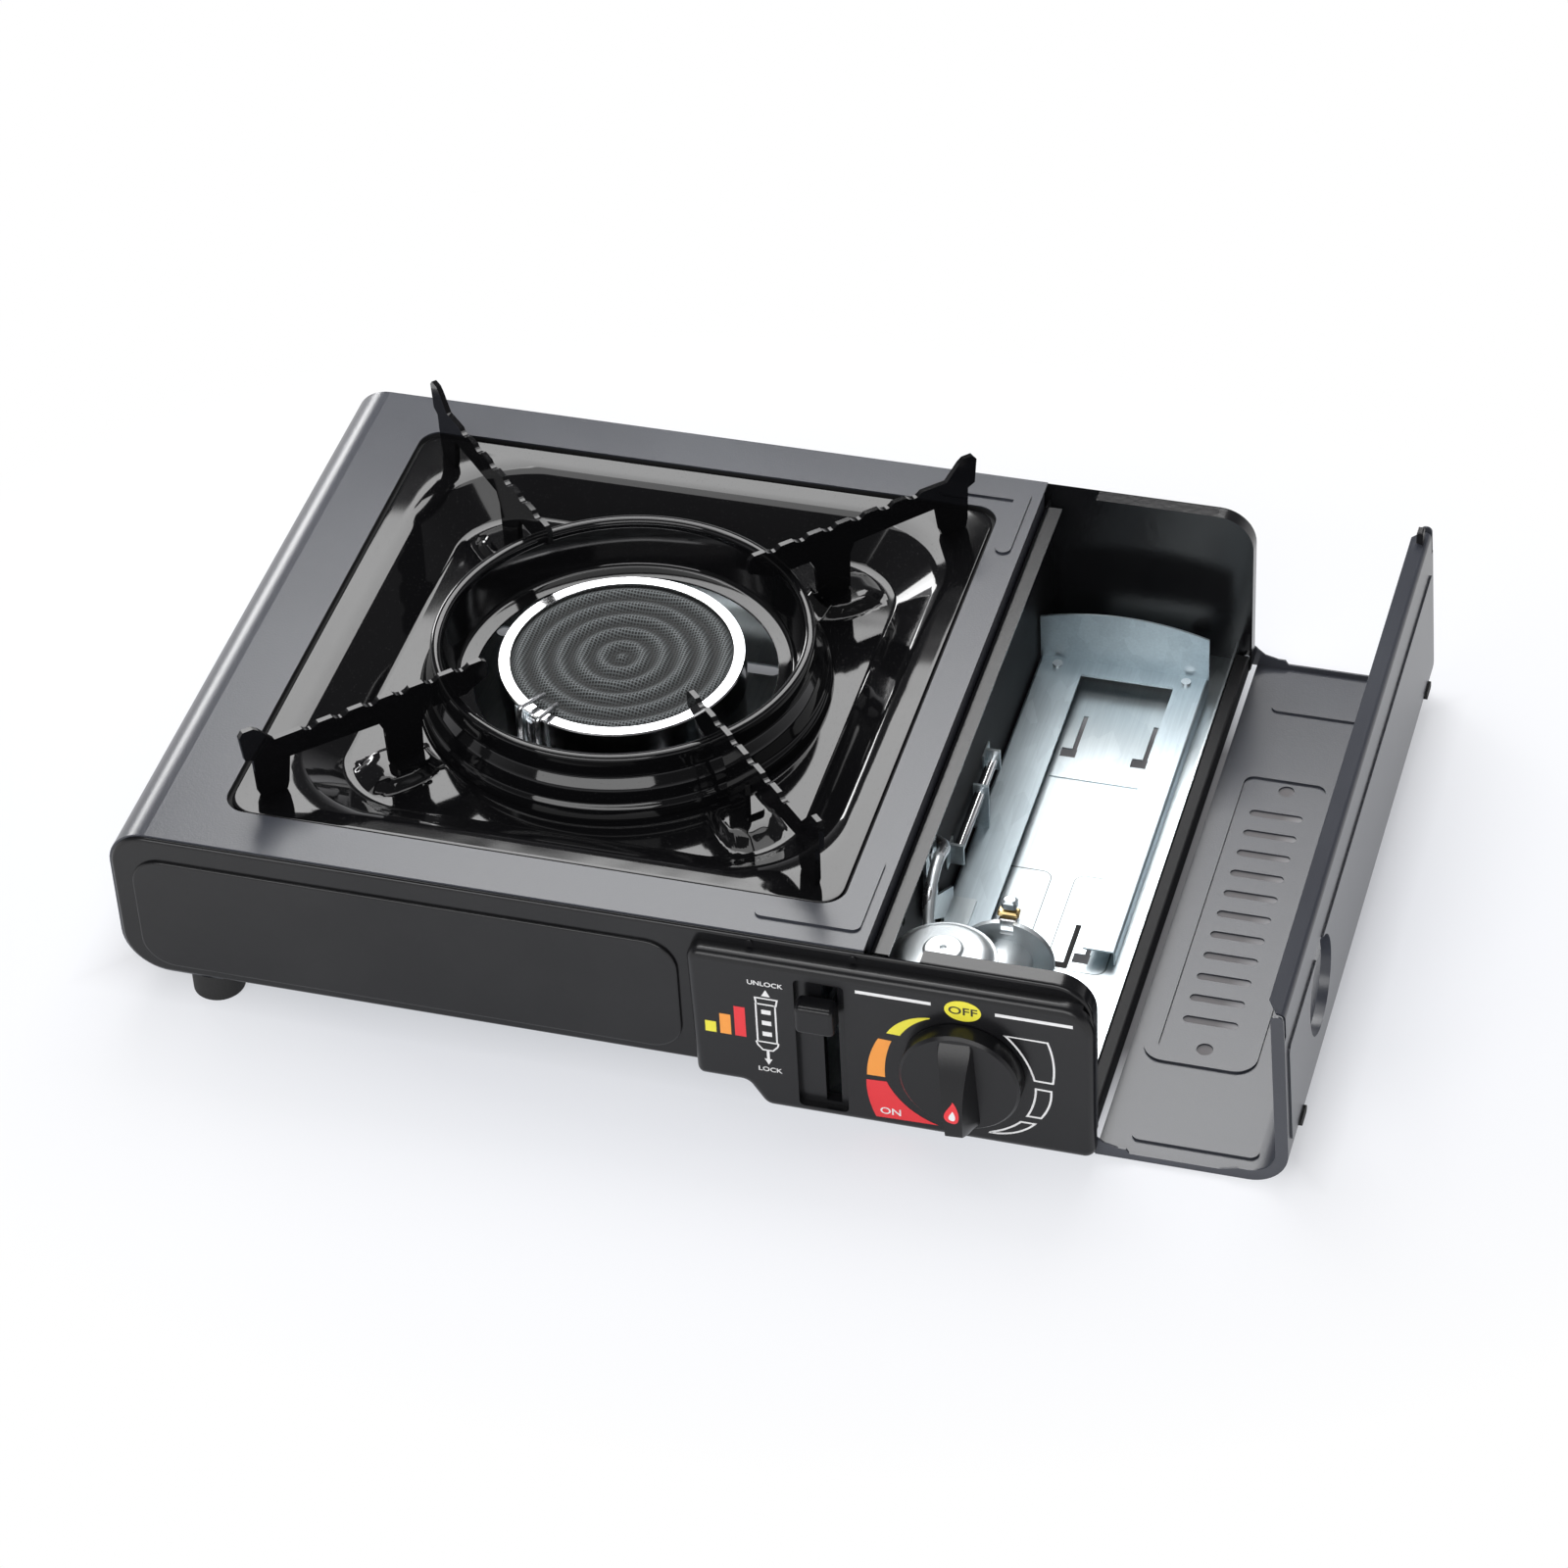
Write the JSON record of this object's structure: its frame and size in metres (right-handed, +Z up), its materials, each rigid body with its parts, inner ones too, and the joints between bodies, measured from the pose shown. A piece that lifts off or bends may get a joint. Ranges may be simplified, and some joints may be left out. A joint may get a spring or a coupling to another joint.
{
  "type": "butane cassette stove",
  "caption": "Portable tabletop gas stove with a square drip tray, notched pan supports, control knob, lock lever and a side compartment with a hinged lid for a gas cartridge.",
  "frame": {"origin": "on the table under the middle of the stove's body, which its feet stand on", "axes": "+X along the stove towards the cartridge compartment and its open lid, -Y towards the control side, +Z up"},
  "size_m": [0.4295, 0.2979, 0.1075],
  "materials": {
    "cover_paint": "satin black powder paint",
    "panel_paint": "gloss black paint",
    "enamel": "gloss black vitreous enamel",
    "galvanised": "bright galvanised sheet",
    "bright_steel": "bright plated steel",
    "chrome": "polished",
    "ceramic": "dark porous ceramic",
    "brass": "machined",
    "cast_alloy": "die cast",
    "panel_plastic": "fine satin black moulding",
    "knob_plastic": "semi-gloss black moulding",
    "foot_rubber": "matt black"
  },
  "bodies": {
    "body": {"top_cover": "cover_paint", "front_panel": "panel_paint", "rear_panel": "panel_paint", "base_plate": "galvanised", "compartment_tray": "galvanised", "side_sill": "panel_paint", "partition": "panel_paint", "control_panel": "panel_plastic", "valve_body": "brass", "valve_bracket": "galvanised", "piezo_igniter": "knob_plastic", "regulator_body": "cast_alloy", "regulator_cap": "bright_steel", "cartridge_inlet": "bright_steel", "burner_cup": "bright_steel", "ceramic_plaque": "ceramic", "burner_ring": "chrome", "burner_stand": "galvanised", "mixing_tube": "bright_steel", "injector": "brass", "injector_bracket": "galvanised", "gas_tube": "bright_steel", "electrode_bracket": "chrome", "spark_electrode": "chrome", "thermocouple": "chrome", "tall_feet": "foot_rubber", "short_feet": "foot_rubber", "lid_hinge_pins": "bright_steel", "lever_stud": "bright_steel", "guide_rod": "chrome", "rod_brackets": "galvanised", "panel_screws": "bright_steel"},
    "tray": {"drip_tray": "enamel", "wind_ring": "enamel", "pan_support_1": "enamel", "pan_support_2": "enamel", "pan_support_3": "enamel", "pan_support_4": "enamel"},
    "knob": {"knob": "knob_plastic", "valve_spindle": "brass"},
    "lever": {"lever_arm": "galvanised", "crank_pin": "bright_steel", "lever_cap": "knob_plastic"},
    "carriage": {"carriage": "galvanised", "carriage_rivets": "bright_steel", "carriage_link": "galvanised"},
    "lid": {"lid": "cover_paint", "lid_buffers": "foot_rubber", "lid_catch": "knob_plastic"}
  },
  "joints": [
    {"name": "lid_hinge", "type": "hinge", "parent": "body", "child": "lid", "pos_m": [0.1765, 0, 0.0055], "axis": [0, -1, 0], "range_deg": [0, 87.5]},
    {"name": "knob_turn", "type": "hinge", "parent": "body", "child": "knob", "pos_m": [0.1352, -0.14, 0.0358], "axis": [0, 1, 0], "range_deg": [0, 180]},
    {"name": "lever_lock", "type": "hinge", "parent": "body", "child": "lever", "pos_m": [0.087, -0.062, 0.036], "axis": [1, 0, 0], "range_deg": [0, 23.6], "stiffness_Nm_per_rad": 0.3, "springref_deg": -14.32},
    {"name": "carriage_slide", "type": "slide", "parent": "body", "child": "carriage", "axis": [0, -1, 0], "range_m": [0, 0.0082]},
    {"name": "tray_lift", "type": "slide", "parent": "body", "child": "tray", "axis": [0, 0, 1], "range_m": [0, 0.1]}
  ],
  "couplings": [
    {"joint": "carriage_slide", "follows": "lever_lock", "m_per_rad": 0.01986}
  ]
}
